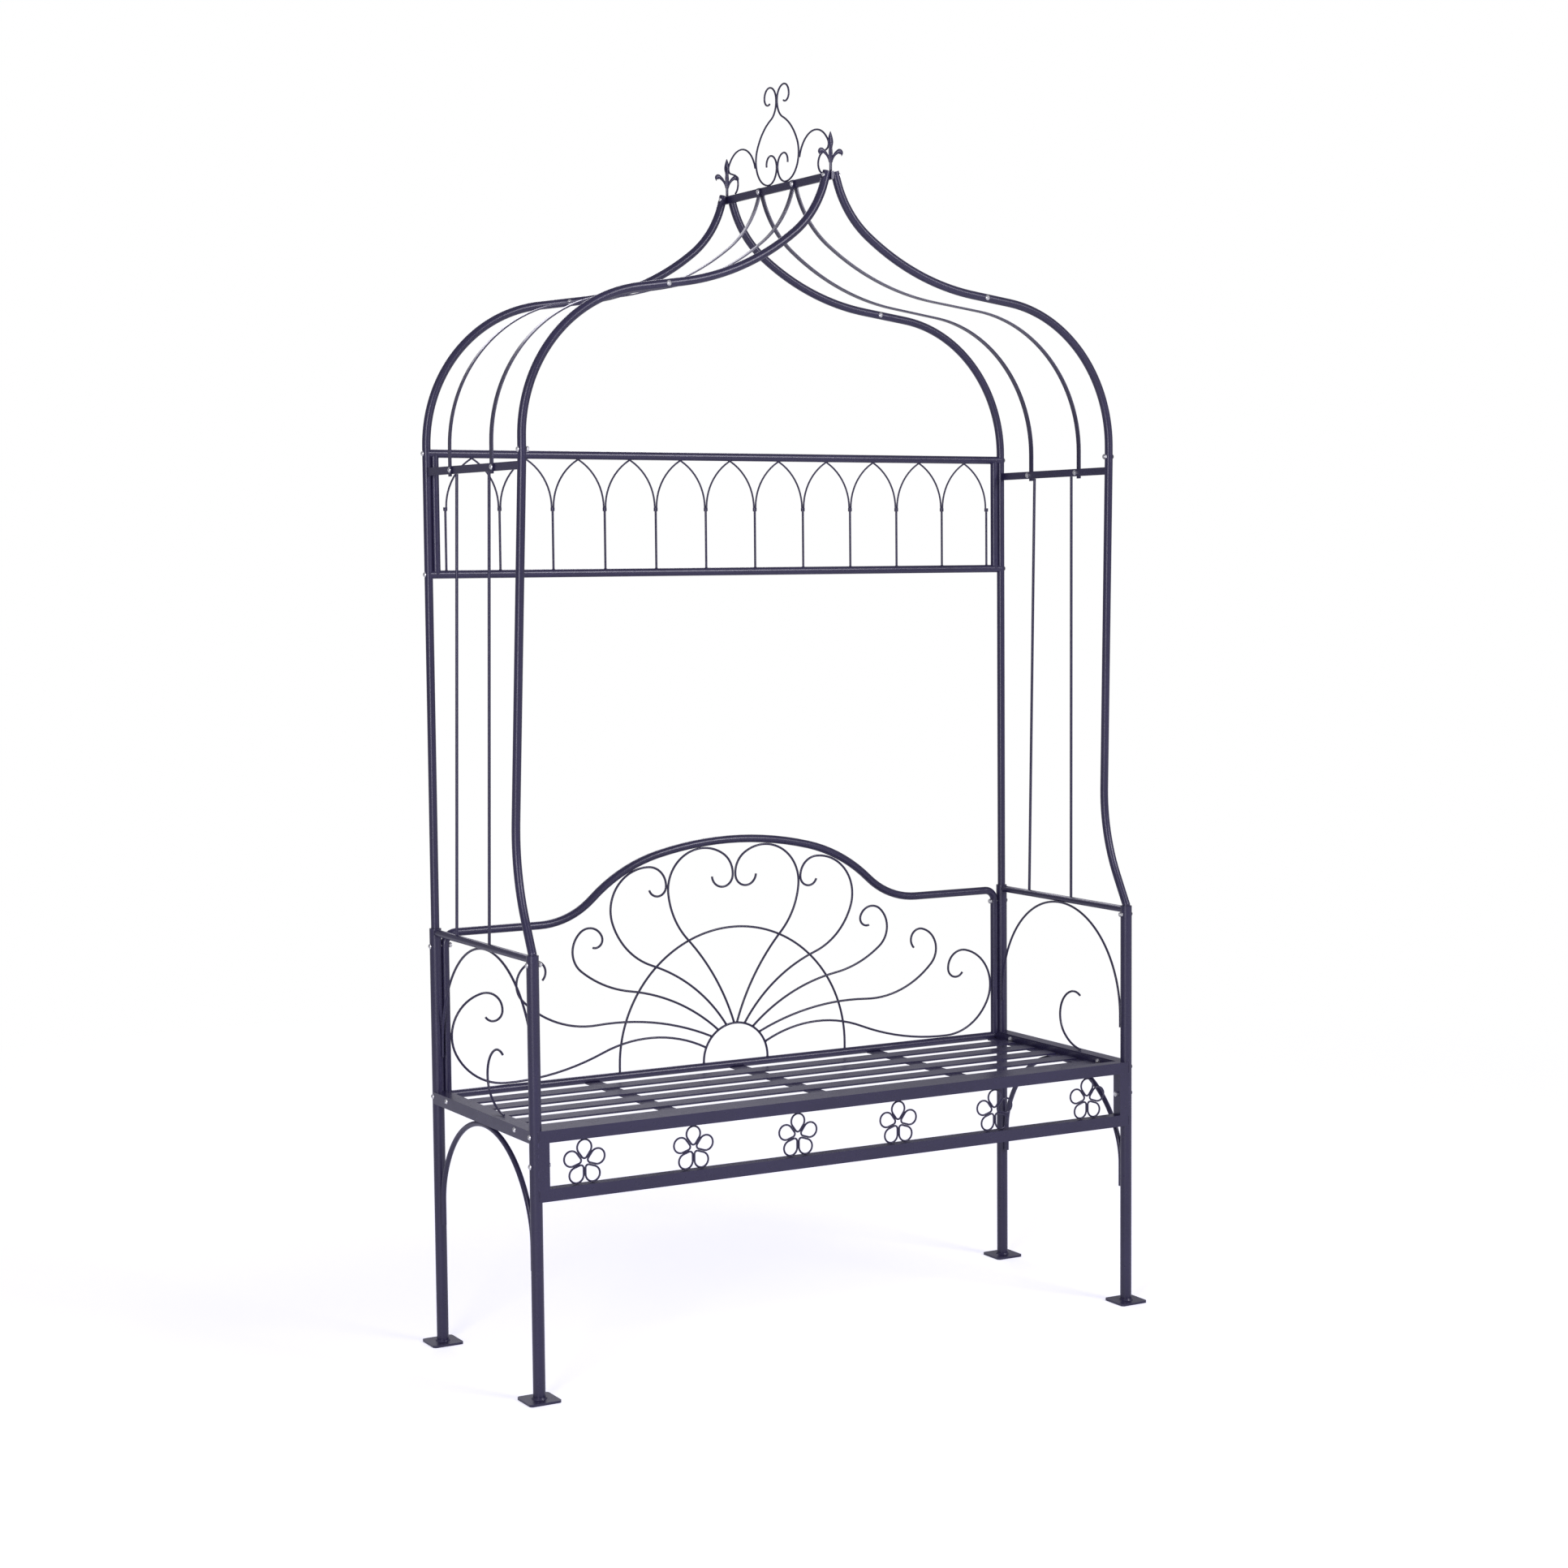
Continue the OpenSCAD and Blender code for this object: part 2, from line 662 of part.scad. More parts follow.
// The crown scroll stands on the ridge bar: two twin wires and two side wires, drawn as
// [back from the roof's middle, up from the ridge]
crown_start = [36, 33, 76];
crown_curl = [[14, 107], [21, 83], [27, 92], [44, 120], [97, 39]];
crown_neck_h = 3;
crown_tips = [[23, -90], [17, -90], [12, -120]];
side_start = [76, 36, 74];
side_curl = [[53, -129], [9, -109], [0, 16], [17, 139]];
twin_gap = wire_r + touch_gap / 2;
module crown_scroll() {
  belly = reach(crown_start[2], crown_curl);
  neck_turn = belly[2] - 360 - 90;
  neck_r = (crown_start[0] + belly[0] - twin_gap) / (1 - sin(belly[2]));
  twin = concat(crown_curl, [[neck_r, -neck_turn], [0, crown_neck_h]], crown_tips);
  color(steel)
    translate([0, roof_y, ridge_h]) facing_side(0)
      both_sides() {
        bent_rod(crown_start, twin, wire_d);
        bent_rod(side_start, side_curl, wire_d);
      }
}

module armrest() {
  color(steel) difference() {
    facing_front(0) translate([-leg_x, arm_h, 0]) difference() {
      cylinder(d = arm_d, h = 2 * leg_y, center = true);
      cylinder(d = arm_d - 2 * tube_wall, h = 2 * leg_y + over, center = true);
    }
    leg_outside(-leg_y);
    leg_outside(leg_y);
  }
}
module armrest_left() { armrest(); }
module armrest_right() { on_side(true) armrest(); }

// Under an armrest: an arch between the legs and a hook on the side rail, drawn as [back, up]
hook_start = [-65, seat_h + rod_r + touch_gap / 2, 5];
hook_steps = [[81, 38], [48, 122], [33, 48]];
module side_scroll() {
  radius = leg_y - sqrt(pow(leg_r + rod_r + touch_gap / 2, 2) - scroll_in * scroll_in);
  top = arm_h - sqrt(pow(arm_d / 2 + rod_r + touch_gap / 2, 2) - scroll_in * scroll_in);
  color(steel) facing_side(-leg_x + scroll_in) {
    bent_rod([radius, top - radius - scroll_end, 90],
             [[0, scroll_end], [radius, 180], [0, scroll_end]], rod_d);
    bent_rod(hook_start, hook_steps, rod_d);
  }
}
module side_scroll_left() { side_scroll(); }
module side_scroll_right() { on_side(true) side_scroll(); }

module leg_arch() {
  half = leg_y - leg_r - arch_r - touch_gap / 2;
  end_r = (half - leg_arch_r * sin(leg_arch_turn)) / (1 - sin(leg_arch_turn));
  rise = leg_arch_r * (1 - cos(leg_arch_turn)) + end_r * cos(leg_arch_turn);
  top = seat_h - rail_w - arch_r - touch_gap / 2;
  color(steel) facing_side(-leg_x)
    bent_rod([half, top - rise - leg_arch_end, 90],
             [[0, leg_arch_end], [end_r, 90 - leg_arch_turn], [leg_arch_r, 2 * leg_arch_turn],
              [end_r, 90 - leg_arch_turn], [0, leg_arch_end]], arch_d);
}
module leg_arch_left() { leg_arch(); }
module leg_arch_right() { on_side(true) leg_arch(); }

// A round rail across the back at a height, from one side piece's middle to the other's
module rail_shape(h, d) {
  translate([-leg_x, leg_y, h]) along("x") cylinder(d = d, h = span_w);
}
module header_rail(h) {
  color(steel) difference() {
    rail_shape(h, tube_d);
    rail_shape(h, tube_bore);
    for (x = [-leg_x, leg_x])
      translate([x, leg_y, h - tube_d]) cylinder(d = tube_d, h = 2 * tube_d);
  }
}
module header_top_rail() { header_rail(header_top); }
module header_low_rail() { header_rail(header_low); }

module header_stiles() {
  color(steel) both_sides() difference() {
    translate([-header_stile_x, leg_y, header_low]) {
      difference() {
        cylinder(d = tube_d, h = header_top - header_low);
        translate([0, 0, -over])
          cylinder(d = tube_bore, h = header_top - header_low + 2 * over);
      }
    }
    rail_shape(header_low, tube_d);
    rail_shape(header_top, tube_d);
  }
}

// Arches and rods meet in collars
arch_end_x = header_stile_x - tube_r - arch_edge;
arch_pitch = 2 * arch_end_x / arches;
collar_z = header_top - tube_r - arch_rise;
module header_arches() {
  half = arch_pitch / 2 - wire_r - touch_gap / 2;
  rise = arch_rise - collar_h / 2;
  radius = (rise * rise + half * half) / (2 * half);
  turn = atan2(rise, radius - half);
  color(steel) difference() {
    facing_front(leg_y)
      for (i = [0:arches - 1])
        translate([-arch_end_x + (i + 0.5) * arch_pitch, collar_z + collar_h / 2, 0]) {
          both_sides() bent_rod([-half, 0, 90], [[radius, -turn]], wire_d);
          ball_at([0, rise, 0], wire_d + knuckle);
        }
    rail_shape(header_top, tube_d);
  }
}
module header_rods() {
  color(steel) difference() {
    for (i = [0:arches])
      translate([-arch_end_x + i * arch_pitch, leg_y, header_low])
        cylinder(d = rod_d, h = collar_z - collar_h / 2 - header_low);
    rail_shape(header_low, tube_d);
  }
}
module header_collars() {
  color(steel)
    for (i = [0:arches])
      translate([-arch_end_x + i * arch_pitch, leg_y, collar_z])
        cylinder(d = collar_d, h = collar_h, center = true);
}

// The backrest's bent tube, drawn as [right, up] from the foot of its right stile
frame_drop = back_rise - back_r * (1 - cos(back_turn));
frame_turn = acos((back_end_r * cos(back_turn) + back_foot_r - frame_drop)
                  / (back_end_r + back_foot_r));
frame_hollow = back_foot_r * sin(frame_turn);
frame_arch = back_r * sin(back_turn) + back_end_r * (sin(frame_turn) - sin(back_turn));
frame_half = [
  [0, shoulder_h - corner_r - low_rail_h], [corner_r, 90],
  [0, stile_x - corner_r - frame_hollow - frame_arch], [back_foot_r, -frame_turn],
  [back_end_r, frame_turn - back_turn]
];
frame_steps = concat(frame_half, [[back_r, 2 * back_turn]], [for (i = [4:-1:0]) frame_half[i]]);
module backrest_frame() {
  color(steel) difference() {
    facing_front(leg_y) bent_tube([stile_x, low_rail_h, 90], frame_steps, tube_d, tube_wall);
    rail_shape(low_rail_h, tube_d);
    both_sides() screw_holes(leg_screws);
  }
}
module backrest_low_rail() {
  color(steel) difference() {
    rail_shape(low_rail_h, tube_d);
    rail_shape(low_rail_h, tube_bore);
    both_sides() leg_outside(leg_y);
  }
}

// Half rings that stand on the lower rail
module sun(y, radius, rise) {
  color(steel) difference() {
    facing_front(y) bent_rod([radius, low_rail_h, 90], [[0, rise], [radius, 180], [0, rise]], rod_d);
    rail_shape(low_rail_h, tube_d);
  }
}
module small_sun() { sun(leg_y, small_sun_r, small_sun_rise); }
module large_sun() { sun(leg_y + rod_d + touch_gap / 2, large_sun_r, large_sun_rise); }

// The rays are drawn for this height between the small ring and the arched rail, and this distance
// of the stiles from the middle: the upper ones follow the height, the lower ones the width
drawn_rise = 324;
drawn_reach = 558;
taller = (shoulder_h + back_rise - tube_r - low_rail_h - small_sun_rise - small_sun_r) / drawn_rise;
wider = stile_x / drawn_reach;

// Rays start on the small ring at an angle on it, with a heading of their own
function ray_start(angle, heading) =
  let(radius = small_sun_r + rod_r * (1 + abs(sin(angle - heading))) + touch_gap / 2)
  [radius * cos(angle), low_rail_h + small_sun_rise + radius * sin(angle), heading];
module ray_pair(angle, heading, size, steps) {
  sized = [for (step = steps) [step[0] * size, step[1]]];
  color(steel) both_sides() facing_front(leg_y) bent_rod(ray_start(angle, heading), sized, rod_d);
}
module heart_scrolls() {
  ray_pair(87, 72, taller, [[415, -25], [143, 37], [71, 130], [44, 61], [21, 171]]);
}
module upper_rays() {
  ray_pair(73, 57, taller, [[294, -37], [126, 52], [73, 110], [35, 91], [17, 159]]);
}
module middle_rays() {
  ray_pair(57, 42, taller, [[336, -33], [200, 30], [45, 100], [26, 110], [14, 130]]);
}
module lower_rays() { ray_pair(42, 24, wider, [[470, -28], [180, 50], [40, 120], [20, 150]]); }
module end_scrolls() {
  ray_pair(23, 27, wider, [[244, -49], [474, 23], [104, 62], [71, 104], [32, 107], [17, 144]]);
}

// A square rail across the front at a height, hollow and shaped to fit the legs
module front_rail(h) {
  color(steel) difference() {
    translate([0, -leg_y, h]) cube([span_w, rail_w, rail_w], center = true);
    translate([0, -leg_y, h])
      cube([span_w + over, rail_w - 2 * rail_wall, rail_w - 2 * rail_wall], center = true);
    both_sides() leg_outside(-leg_y);
  }
}
module seat_front_rail() { front_rail(rail_h); }
module apron_rail() { front_rail(apron_h); }

module seat_side_rails() {
  color(steel) both_sides() difference() {
    translate([-side_rail_out, -leg_y, rail_h - rail_w / 2]) cube([side_rail_w, span_d, rail_w]);
    translate([-side_rail_out + rail_wall, -leg_y - over, rail_h - rail_w / 2 + rail_wall])
      cube([side_rail_w - 2 * rail_wall, span_d + 2 * over, rail_w - 2 * rail_wall]);
    leg_outside(-leg_y);
    leg_outside(leg_y);
    translate([-leg_x, -leg_y - over, rail_h - rail_w])
      cube([side_rail_w, rail_w / 2 + over, 2 * rail_w]);
    translate([-leg_x + leg_r, leg_y - tube_r, rail_h - rail_w])
      cube([side_rail_w, rail_w, 2 * rail_w]);
    screw_holes(side_rail_screws);
  }
}

module seat_end_angles() {
  length = span_d - rail_w / 2 - tube_r;
  color(steel) both_sides() difference() {
    translate([-side_rail_in, -leg_y + rail_w / 2, slat_h - 2 * slat_t]) {
      cube([angle_w, length, slat_t]);
      cube([slat_t, length, angle_h]);
    }
    screw_holes(side_rail_screws);
  }
}

module seat_cross_bars() {
  color(steel) difference() {
    for (i = [1:crosses])
      translate([-leg_x + i * span_w / (crosses + 1) - cross_w / 2, -leg_y + rail_w / 2,
                 slat_h - 2 * slat_t])
        cube([cross_w, span_d - rail_w / 2, slat_t]);
    rail_shape(low_rail_h, tube_d);
  }
}

module seat_slats() {
  length = 2 * (side_rail_in - slat_t - slat_end);
  color(steel)
    for (i = [0:slats - 1])
      translate([-length / 2, (i - (slats - 1) / 2) * slat_pitch - slat_w / 2, slat_h - slat_t])
        cube([length, slat_w, slat_t]);
}

module apron_stiles() {
  color(steel) both_sides() difference() {
    translate([-leg_x, -leg_y - rail_w / 2, apron_h + rail_w / 2])
      cube([leg_r + apron_stile_w, rail_w, apron_gap]);
    leg_outside(-leg_y);
    screw_holes(seat_frame_screws);
  }
}

// A flower of five wire petals that lie side by side, as high as the gap between the rails
petals = 5;
petal_tip_d = 2.4;
petal_reach = (apron_gap - petal_point - 2 * touch_gap)
  / (1 + cos(180 / petals) + 2 * sin(180 / petals));
flower_low = petal_reach * (cos(180 / petals) + sin(180 / petals));
module flower() {
  outer_r = petal_reach * sin(180 / petals) - touch_gap / 2;
  inner_at = (petal_inner_r + touch_gap / 2) / sin(180 / petals);
  big = outer_r - wire_r;
  small = petal_inner_r - wire_r;
  apart = petal_reach - inner_at;
  slant = asin((big - small) / apart);
  side = apart * cos(slant);
  across = small * cos(slant);
  up = inner_at - small * sin(slant);
  for (i = [0:petals - 1])
    let(turn = i * 360 / petals)
      bent_loop([across * cos(turn) - up * sin(turn), across * sin(turn) + up * cos(turn),
                 90 - slant + turn],
                [[0, side], [big, 180 + 2 * slant], [0, side], [small, 180 - 2 * slant]], wire_d);
  translate([0, petal_reach + big, 0]) rotate([-90, 0, 0])
    cylinder(d1 = petal_tip_d, d2 = 1, h = wire_r + petal_point);
}
module apron_flowers() {
  color(steel)
    for (i = [0:flowers - 1])
      translate([(i - (flowers - 1) / 2) * flower_pitch, 0,
                 apron_h + rail_w / 2 + touch_gap + flower_low])
        facing_front(-leg_y) flower();
}

// A dome head with a hexagonal socket on a shank that starts at the head's flat face
module screw(length) {
  dome_r = (head_h * head_h + head_d * head_d / 4) / (2 * head_h);
  difference() {
    union() {
      translate([0, 0, -head_h]) intersection() {
        translate([0, 0, dome_r]) sphere(r = dome_r);
        translate([-head_d, -head_d, 0]) cube([2 * head_d, 2 * head_d, head_h]);
      }
      translate([0, 0, -over / 2]) cylinder(d = screw_d, h = length + over / 2);
    }
    translate([0, 0, -head_h - over]) cylinder(d = screw_d * 0.6, h = over + head_h / 2, $fn = 6);
  }
}
module screw_at(s) {
  end = s[3] == "nut" ? nut_h + screw_d / 4 : insert_len - over;
  translate(s[0]) along(s[1]) translate([0, 0, -s[2] / 2]) screw(s[2] + end);
}
module screws() {
  color(zinc) {
    both_sides() for (s = side_screws) screw_at(s);
    for (s = ridge_bolts) screw_at(s);
  }
}

// Hexagonal nuts behind the clamped pieces, and threaded plugs in the ends of the rails
module nut() {
  difference() {
    cylinder(d = nut_d, h = nut_h, $fn = 6);
    translate([0, 0, -over]) cylinder(d = screw_d, h = nut_h + 2 * over);
  }
}
module insert_plug(square_rail) {
  difference() {
    if (square_rail)
      translate([0, 0, insert_len / 2])
        cube([rail_w - 2 * rail_wall, rail_w - 2 * rail_wall, insert_len], center = true);
    else
      cylinder(d = tube_bore, h = insert_len);
    translate([0, 0, -over]) cylinder(d = screw_d, h = insert_len + 2 * over);
  }
}
module nuts_and_inserts() {
  color(zinc) {
    both_sides() for (s = side_screws)
      translate(s[0]) along(s[1]) translate([0, 0, s[2] / 2])
        if (s[3] == "nut") nut();
        else insert_plug(s[0][1] < 0);
    for (s = ridge_bolts)
      translate(s[0]) along(s[1]) translate([0, 0, s[2] / 2]) nut();
  }
}

leg_front_left();
leg_front_right();
leg_rear_left();
leg_rear_right();
foot_plates();
post_front_left();
post_front_right();
post_rear_left();
post_rear_right();
shoulder_tube_front_left();
shoulder_tube_front_right();
shoulder_tube_rear_left();
shoulder_tube_rear_right();
crown_tube_front_left();
crown_tube_front_right();
crown_tube_rear_left();
crown_tube_rear_right();
joint_pins();
rib_front_left();
rib_front_right();
rib_rear_left();
rib_rear_right();
ridge_bar();
eaves_bar_left();
eaves_bar_right();
side_rods_left();
side_rods_right();
finials();
crown_scroll();
armrest_left();
armrest_right();
side_scroll_left();
side_scroll_right();
leg_arch_left();
leg_arch_right();
header_top_rail();
header_low_rail();
header_stiles();
header_arches();
header_rods();
header_collars();
backrest_frame();
backrest_low_rail();
small_sun();
large_sun();
heart_scrolls();
upper_rays();
middle_rays();
lower_rays();
end_scrolls();
seat_front_rail();
seat_side_rails();
seat_end_angles();
seat_cross_bars();
seat_slats();
apron_rail();
apron_stiles();
apron_flowers();
screws();
nuts_and_inserts();
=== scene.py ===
"""Dresses the garden arch: powder coat, zinc screws, weld beads, cast finials, a pale studio and
the camera at the photograph's viewing angle."""

import math
import random

import bpy
from mathutils import Matrix, Vector


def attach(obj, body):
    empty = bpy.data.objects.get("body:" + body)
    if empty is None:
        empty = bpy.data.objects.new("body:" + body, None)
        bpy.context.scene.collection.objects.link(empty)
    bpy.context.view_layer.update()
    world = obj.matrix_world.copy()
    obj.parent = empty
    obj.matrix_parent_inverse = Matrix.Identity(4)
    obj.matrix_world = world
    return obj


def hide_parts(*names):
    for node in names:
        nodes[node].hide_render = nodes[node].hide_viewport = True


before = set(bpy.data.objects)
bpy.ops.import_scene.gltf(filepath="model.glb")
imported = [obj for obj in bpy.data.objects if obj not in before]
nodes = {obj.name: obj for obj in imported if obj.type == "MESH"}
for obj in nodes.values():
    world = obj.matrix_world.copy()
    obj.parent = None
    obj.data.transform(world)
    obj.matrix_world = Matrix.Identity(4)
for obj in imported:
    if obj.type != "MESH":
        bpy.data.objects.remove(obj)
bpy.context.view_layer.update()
MM = 0.001
ACROSS, BACK, UP = Vector((1, 0, 0)), Vector((0, 1, 0)), Vector((0, 0, 1))

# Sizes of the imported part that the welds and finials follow, in millimetres
LEG_X, LEG_Y, LEG_R = 575, 196, 10
TUBE_R, ROD_R, WIRE_R = 7, 2, 1.6
ARM_H, ARM_R = 705, 6
SEAT_H, RAIL_W = 434, 20
SEAT_RAIL_LOW = SEAT_H - RAIL_W
APRON_RAIL_LOW, APRON_RAIL_TOP = 320, 340
HEADER_TOP, HEADER_LOW = 1508, 1307
LOW_RAIL_H = 426
RIDGE_H, FRONT_ROOF_Y = 1962, 160
STILE_X, HEADER_STILE_X = 558, 561
RAY_ANGLES = (87, 73, 57, 42, 23)
SMALL_SUN_R, SMALL_SUN_RISE = 65, 9
LARGE_SUN_R, LARGE_SUN_BEHIND = 230, 2 * ROD_R + 0.1
ARCH_EDGE_X, ARCHES = 543, 11


# ---------------------------------------------------------------- pieces
def link_object(name, data):
    item = bpy.data.objects.new(name, data)
    bpy.context.scene.collection.objects.link(item)
    return item


def mesh_object(name, vertices, faces, material, smooth):
    mesh = bpy.data.meshes.new(name)
    mesh.from_pydata(vertices, [], faces)
    mesh.polygons.foreach_set("use_smooth", [smooth] * len(mesh.polygons))
    mesh.materials.append(material)
    return link_object(name, mesh)


# ---------------------------------------------------------------- materials
# The sockets of a Mix node that hold its two colours and the result
FIRST_COLOUR, SECOND_COLOUR, MIXED_COLOUR = 6, 7, 2
# Cosine between the true and the rounded normal, where a rubbed edge starts and where it is full
EDGE_START, EDGE_FULL = 0.93, 0.72
EDGE_SAMPLES = 4
STEEL_IOR = 1.5
COAT_SHINE, ZINC_SHINE = 0.6, 0.5
ZINC_METALLIC = 0.85
RUBBED_ZINC = (0.45, 0.45, 0.44)
# Painted highlight: the coat's upward faces blend toward this pale violet, in place of the light
# that falls on the tops
TOP_HIGHLIGHT_COLOUR, TOP_HIGHLIGHT_SHARE = (0.22, 0.20, 0.30), 0.04
SPECKLE_SHARE = 0.35


def new_material(name):
    material = bpy.data.materials.new(name)
    material.use_nodes = True
    tree = material.node_tree
    tree.nodes.clear()
    return material, tree


def add(tree, kind, **values):
    """A new node whose inputs, or else its own settings, get the values"""
    node = tree.nodes.new(kind)
    for key, value in values.items():
        if key in node.inputs:
            node.inputs[key].default_value = value
        else:
            setattr(node, key, value)
    return node


def noise(tree, place, scale, detail=3.0, rough=0.55):
    node = add(tree, "ShaderNodeTexNoise", Scale=scale, Detail=detail, Roughness=rough)
    tree.links.new(place, node.inputs["Vector"])
    return node.outputs["Fac"]


def remap(tree, value, low, high, to_low=0, to_high=1):
    node = add(tree, "ShaderNodeMapRange", clamp=True)
    slots = {"From Min": low, "From Max": high, "To Min": to_low, "To Max": to_high}
    for slot, number in slots.items():
        node.inputs[slot].default_value = number
    tree.links.new(value, node.inputs["Value"])
    return node.outputs["Result"]


def blend_colour(tree, factor, first, second):
    node = add(tree, "ShaderNodeMix", data_type="RGBA")
    tree.links.new(factor, node.inputs["Factor"])
    for value, socket in ((first, FIRST_COLOUR), (second, SECOND_COLOUR)):
        if isinstance(value, tuple):
            node.inputs[socket].default_value = (*value, 1)
        else:
            tree.links.new(value, node.inputs[socket])
    return node.outputs[MIXED_COLOUR]


def multiply(tree, first, second):
    node = add(tree, "ShaderNodeMath", operation="MULTIPLY")
    tree.links.new(first, node.inputs[0])
    if isinstance(second, (int, float)):
        node.inputs[1].default_value = second
    else:
        tree.links.new(second, node.inputs[1])
    return node.outputs[0]


def edge_mask(tree, place, radius, threshold, share):
    """As much as share along sharp edges, broken up by noise"""
    bevel = add(tree, "ShaderNodeBevel", samples=EDGE_SAMPLES, Radius=radius)
    geometry = add(tree, "ShaderNodeNewGeometry")
    dot = add(tree, "ShaderNodeVectorMath", operation="DOT_PRODUCT")
    tree.links.new(bevel.outputs[0], dot.inputs[0])
    tree.links.new(geometry.outputs["Normal"], dot.inputs[1])
    edge = remap(tree, dot.outputs["Value"], EDGE_START, EDGE_FULL)
    patches = noise(tree, place, scale=140, detail=4)
    broken = remap(tree, patches, threshold, threshold + 0.2)
    return multiply(tree, multiply(tree, edge, broken), share)


def finish_surface(tree, colour, rough, height, strength, distance, metallic, shine):
    bump = add(tree, "ShaderNodeBump", Strength=strength, Distance=distance)
    tree.links.new(height, bump.inputs["Height"])
    shader = add(tree, "ShaderNodeBsdfPrincipled")
    shader.inputs["Metallic"].default_value = metallic
    shader.inputs["IOR"].default_value = STEEL_IOR
    shader.inputs["Specular IOR Level"].default_value = shine
    tree.links.new(colour, shader.inputs["Base Color"])
    tree.links.new(rough, shader.inputs["Roughness"])
    tree.links.new(bump.outputs["Normal"], shader.inputs["Normal"])
    out = add(tree, "ShaderNodeOutputMaterial")
    tree.links.new(shader.outputs[0], out.inputs[0])


def coat_material(name, dark, light, worn, rough_low, rough_high):
    """Powder coat over steel: mottled tone, orange peel, paler rubbed edges, and a painted highlight
    that makes upward faces a little paler
    """
    material, tree = new_material(name)
    place = add(tree, "ShaderNodeTexCoord").outputs["Object"]
    cloud = remap(tree, noise(tree, place, scale=9, detail=5), 0.3, 0.7)
    speckle = remap(tree, noise(tree, place, scale=420, detail=2), 0.35, 0.65)
    tone = blend_colour(tree, cloud, dark, light)
    fine = blend_colour(tree, multiply(tree, speckle, SPECKLE_SHARE), tone, light)

    geometry = add(tree, "ShaderNodeNewGeometry")
    split = add(tree, "ShaderNodeSeparateXYZ")
    tree.links.new(geometry.outputs["Normal"], split.inputs[0])
    # Painted highlight on upward faces, in patches: they turn paler as if lit from above
    faces_up = remap(tree, split.outputs["Z"], 0.55, 1.0, to_high=TOP_HIGHLIGHT_SHARE)
    patches = remap(tree, noise(tree, place, scale=30, detail=4), 0.35, 0.7, to_low=0.2)
    top_highlighted = blend_colour(tree, multiply(tree, faces_up, patches), fine, TOP_HIGHLIGHT_COLOUR)

    edges = edge_mask(tree, place, radius=0.0006, threshold=0.48, share=0.55)
    rubbed = blend_colour(tree, edges, top_highlighted, worn)
    rough = remap(tree, noise(tree, place, scale=55, detail=4), 0.3, 0.7, rough_low, rough_high)
    peel = noise(tree, place, scale=850, detail=2, rough=0.4)
    finish_surface(tree, rubbed, rough, peel, strength=0.10, distance=0.00015,
                   metallic=0.0, shine=COAT_SHINE)
    return material


def zinc_material(name, first, second, rough_low, rough_high):
    """Zinc plate or plain steel with a faint mottle and rubbed edges"""
    material, tree = new_material(name)
    place = add(tree, "ShaderNodeTexCoord").outputs["Object"]
    cloud = remap(tree, noise(tree, place, scale=260, detail=4), 0.3, 0.7)
    tone = blend_colour(tree, cloud, first, second)
    edges = edge_mask(tree, place, radius=0.0005, threshold=0.4, share=0.5)
    rubbed = blend_colour(tree, edges, tone, RUBBED_ZINC)
    rough = remap(tree, noise(tree, place, scale=500, detail=3), 0.3, 0.7, rough_low, rough_high)
    grain = noise(tree, place, scale=1500, detail=2)
    finish_surface(tree, rubbed, rough, grain, strength=0.1, distance=0.0003,
                   metallic=ZINC_METALLIC, shine=ZINC_SHINE)
    return material


COAT = coat_material("powder_coat", dark=(0.024, 0.020, 0.056), light=(0.032, 0.027, 0.074),
                     worn=(0.12, 0.11, 0.20), rough_low=0.26, rough_high=0.33)
WELD = coat_material("coated_weld", dark=(0.022, 0.018, 0.052), light=(0.030, 0.025, 0.068),
                     worn=(0.11, 0.10, 0.18), rough_low=0.32, rough_high=0.44)
ZINC = zinc_material("zinc_plate", first=(0.80, 0.80, 0.78), second=(0.62, 0.62, 0.62),
                     rough_low=0.24, rough_high=0.42)
PLAIN = zinc_material("inner_steel", first=(0.42, 0.42, 0.43), second=(0.30, 0.30, 0.31),
                      rough_low=0.4, rough_high=0.6)
FASTENERS = {"screws": ZINC, "nuts_and_inserts": ZINC, "joint_pins": PLAIN}
for name, node in nodes.items():
    node.data.materials.clear()
    node.data.materials.append(FASTENERS.get(name, COAT))


# ---------------------------------------------------------------- weld beads
# Radii of the beads on tubes and rails, on stiles, on rods, on the rays and under the side
# rails, in millimetres
TUBE_BEAD, STILE_BEAD, ROD_BEAD, RAY_BEAD, ARCH_BEAD = 0.9, 0.8, 0.7, 0.75, 1.0
BEAD_SIDES = 8
# A bead's ripple as a share of its radius, its pace in radians a point, and the random part
RIPPLE, RIPPLE_PACE, RIPPLE_CHANCE = 0.12, 2.1, 0.06
BEAD_END = 0.35  # radius of an open bead's ends, as a share
SADDLE_POINTS = 36
STILE_INSET = 0.05  # how much thinner than the rail a stile counts, so that its saddle closes
FEWEST_RING_POINTS, RING_POINTS_PER_MM = 12, 3
FEWEST_SEAM_STEPS, SEAM_STEP = 4, 1.6
# Where seams lie, in millimetres
RAIL_SEAM_IN, RAIL_SEAM_SHORT = 1.2, 1
APRON_SEAM_IN, APRON_SEAM_FRONT, APRON_SEAM_RISE = 0.2, 3.2, (6, 20)
ARCH_SEAM_OUT, ARCH_SEAM_UNDER, ARCH_SEAM_Y = 2, 0.3, (20, 10)
WIRE_TOP_UNDER, WIRE_RING_OUT, RAY_RING_IN = 0.2, 0.3, 0.2

random.seed(7)
beads = {"vertices": [], "faces": []}


